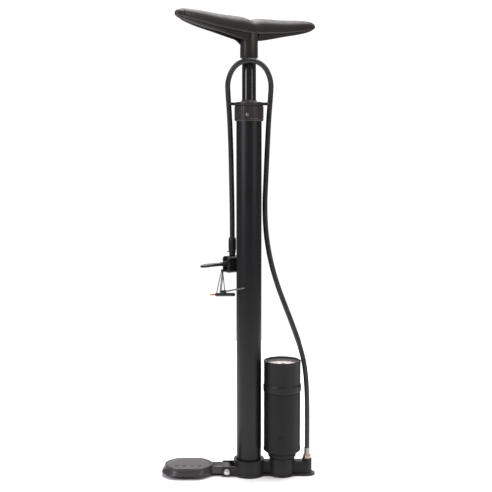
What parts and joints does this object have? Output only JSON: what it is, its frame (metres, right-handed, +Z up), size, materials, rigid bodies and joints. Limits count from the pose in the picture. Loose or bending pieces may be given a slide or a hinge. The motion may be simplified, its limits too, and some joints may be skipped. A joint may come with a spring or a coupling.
{
  "type": "floor bike pump",
  "caption": "Upright floor pump with a cross handle on a sliding rod, a barrel with an air tank and pressure gauge beside it, a fold-down foot step, and a hose with a lever chuck.",
  "frame": {"origin": "on the barrel's axis, at the underside of the base", "axes": "+Z up along the barrel, +X along the base from the foot step to the hose union, +Y from front to back"},
  "size_m": [0.2206, 0.1794, 0.6395],
  "materials": {
    "base_paint": "satin powder coat",
    "pedal_paint": "satin powder coat",
    "barrel_paint": "satin powder coat",
    "tank_paint": "satin powder coat",
    "nickel_steel": "nickel plated",
    "spring_steel": "plain",
    "nickel_plate": "nickel plated",
    "brass": "plain",
    "copper_tip": "copper-coloured",
    "seal_rubber": "matte",
    "hose_rubber": "satin",
    "lanyard_rubber": "matte",
    "cap_plastic": "fine matte",
    "bush_plastic": "plain",
    "gauge_plastic": "satin",
    "chuck_plastic": "satin",
    "lever_plastic": "satin",
    "handle_plastic": "glossy",
    "rod_plastic": "glossy",
    "gauge_can": "plain",
    "dial_white": "printed white",
    "pointer_black": "satin",
    "lens_clear": "clear"
  },
  "bodies": {
    "base": {"base_casting": "base_paint", "pedal_pin": "nickel_steel", "pedal_washers": "nickel_steel", "barrel_tube": "barrel_paint", "barrel_gasket": "seal_rubber", "check_valve_body": "brass", "check_valve_spring": "spring_steel", "barrel_cap": "cap_plastic", "rod_guide_bush": "bush_plastic", "cap_screw": "nickel_steel", "hose_bracket": "cap_plastic", "tank_body": "tank_paint", "tank_seal": "seal_rubber", "gauge_housing": "gauge_plastic", "gauge_seal": "seal_rubber", "gauge_case": "gauge_can", "gauge_socket": "brass", "gauge_nut": "brass", "bourdon_tube": "brass", "gauge_dial": "dial_white", "gauge_lens": "lens_clear", "lens_ring": "gauge_plastic", "movement_frame": "brass", "hose_fitting": "brass", "hose_ferrule": "nickel_plate", "hose": "hose_rubber", "chuck_sleeve": "chuck_plastic", "sleeve_clip": "nickel_steel", "chuck_body": "chuck_plastic", "chuck_mouth_nut": "chuck_plastic", "chuck_gland": "seal_rubber", "chuck_lever_pin": "nickel_steel", "adapter_holder": "chuck_plastic", "ball_needle": "nickel_steel", "presta_adapter": "copper_tip", "lanyard_outer": "lanyard_rubber", "lanyard_inner": "lanyard_rubber"},
    "plunger": {"piston_seal": "seal_rubber"},
    "handle": {"piston_head": "bush_plastic", "piston_pin": "spring_steel", "top_bumper": "seal_rubber", "piston_rod": "rod_plastic", "rod_top_plug": "bush_plastic", "handle_screw": "spring_steel", "handle_core": "handle_plastic", "handle_top_shell": "handle_plastic"},
    "pedal": {"foot_pedal": "pedal_paint"},
    "valve_disc": {"check_valve_disc": "seal_rubber"},
    "lever": {"chuck_lever": "lever_plastic"},
    "gland_plunger": {"chuck_plunger": "bush_plastic"},
    "pointer": {"gauge_pointer": "pointer_black", "pointer_pinion": "brass"},
    "sector": {"sector_gear": "brass"}
  },
  "joints": [
    {"name": "pump_stroke", "type": "slide", "parent": "base", "child": "plunger", "axis": [0, 0, 1], "range_m": [0, 0.474]},
    {"name": "handle_turn", "type": "hinge", "parent": "plunger", "child": "handle", "pos_m": [0, 0, 0.6], "axis": [0, 0, 1], "continuous": true},
    {"name": "pedal_fold", "type": "hinge", "parent": "base", "child": "pedal", "pos_m": [-0.031, 0, 0.007], "axis": [0, 1, 0], "range_deg": [0, 90]},
    {"name": "valve_lift", "type": "slide", "parent": "base", "child": "valve_disc", "axis": [0, 0, -1], "range_m": [0, 0.0012], "stiffness_N_per_m": 50, "deforming": ["check_valve_spring"]},
    {"name": "lever_flip", "type": "hinge", "parent": "base", "child": "lever", "pos_m": [-0.03067, 0.01204, 0.298], "axis": [-0.5736, 0.8192, 0], "range_deg": [0, 80]},
    {"name": "gland_press", "type": "slide", "parent": "base", "child": "gland_plunger", "axis": [0.8192, 0.5736, 0], "range_m": [0, 0.00206]},
    {"name": "pointer_turn", "type": "hinge", "parent": "base", "child": "pointer", "pos_m": [0.0468, 0, 0.1585], "axis": [0, 0, -1], "range_deg": [0, 270], "stiffness_Nm_per_rad": 0.0004},
    {"name": "sector_turn", "type": "hinge", "parent": "base", "child": "sector", "pos_m": [0.0608, 0, 0.1415], "axis": [0, 0, 1], "range_deg": [0, 45.1]}
  ],
  "couplings": [
    {"joint": "gland_press", "follows": "lever_flip", "m_per_rad": 0.001473},
    {"joint": "sector_turn", "follows": "pointer_turn", "ratio": 0.16667}
  ]
}
